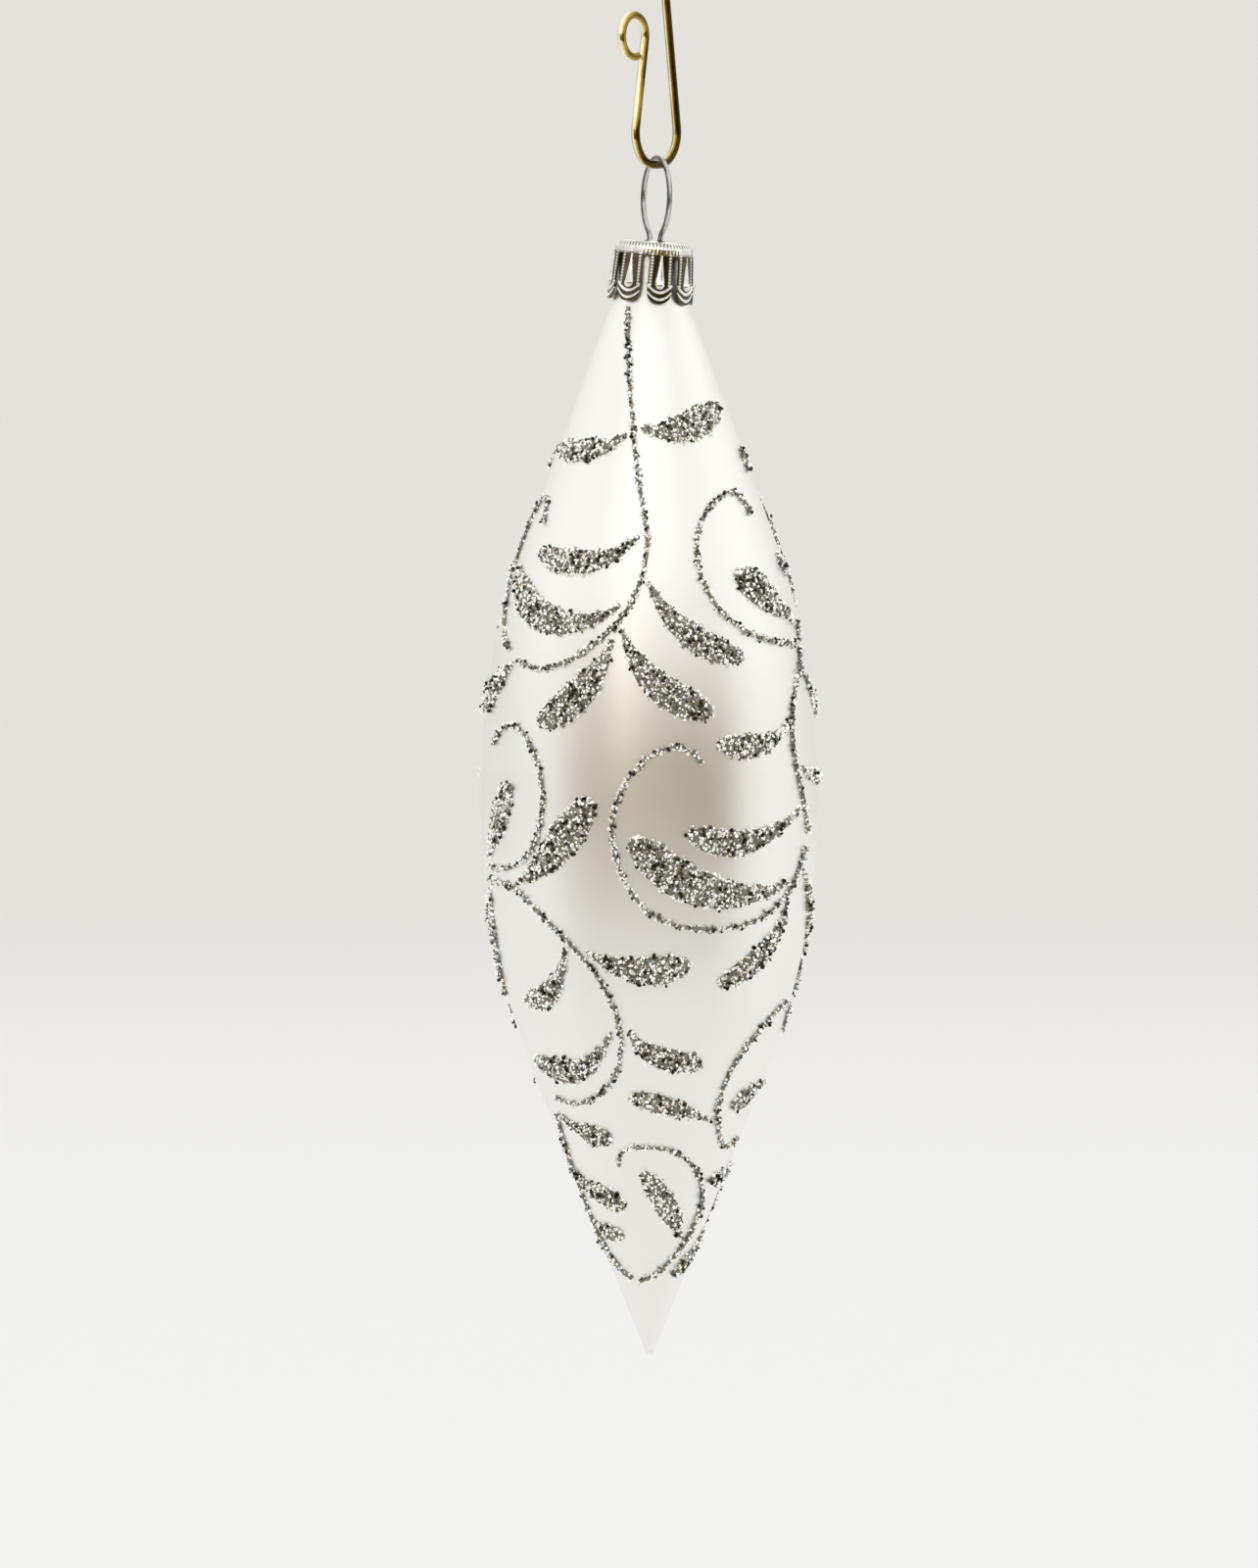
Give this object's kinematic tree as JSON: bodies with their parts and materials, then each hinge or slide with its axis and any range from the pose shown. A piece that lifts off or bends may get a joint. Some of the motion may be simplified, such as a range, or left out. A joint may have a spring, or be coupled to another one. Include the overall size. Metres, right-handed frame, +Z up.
{
  "type": "hanging ornament",
  "caption": "Blown-glass olive ornament with raised glitter vines, a stamped crown cap, a wire hanger loop and an S-shaped wire hook for a branch.",
  "frame": {"origin": "where the upper crook of the hook bears on its branch: the middle of the wire's inner side", "axes": "+Z up against gravity as the ornament hangs, -Y the side the picture shows, +X to the right in it"},
  "size_m": [0.0452, 0.0459, 0.2323],
  "materials": {
    "gold_wire": "bright drawn wire",
    "silver_wire": "bright drawn wire",
    "cap_sheet": "bright stamped sheet",
    "pearl_glass": "silvered, satin pearl lacquer",
    "glitter": "chunky silver glitter set in clear glue"
  },
  "bodies": {
    "hook": {"hook": "gold_wire"},
    "hanger": {"hanger_loop": "silver_wire"},
    "cap": {"crown_cap": "cap_sheet"},
    "glass": {"glass_body": "pearl_glass", "upper_vine_front": "glitter", "side_vine_front": "glitter", "middle_vine_front": "glitter", "left_vine_front": "glitter", "lower_vine_front": "glitter", "upper_vine_back": "glitter", "side_vine_back": "glitter", "middle_vine_back": "glitter", "left_vine_back": "glitter", "lower_vine_back": "glitter"}
  },
  "joints": [
    {"name": "hanger_swing", "type": "hinge", "parent": "hook", "child": "hanger", "pos_m": [0.00017, 0.00025, -0.07303], "axis": [0.5592, 0.829, 0], "range_deg": [-60, 60]},
    {"name": "hanger_pull", "type": "slide", "parent": "hanger", "child": "cap", "axis": [-0.0349, 0, -0.9994], "range_m": [0, 0.0155]},
    {"name": "glass_turn", "type": "hinge", "parent": "cap", "child": "glass", "pos_m": [-0.00088, 0.00025, -0.09], "axis": [0, 0, 1], "continuous": true}
  ]
}
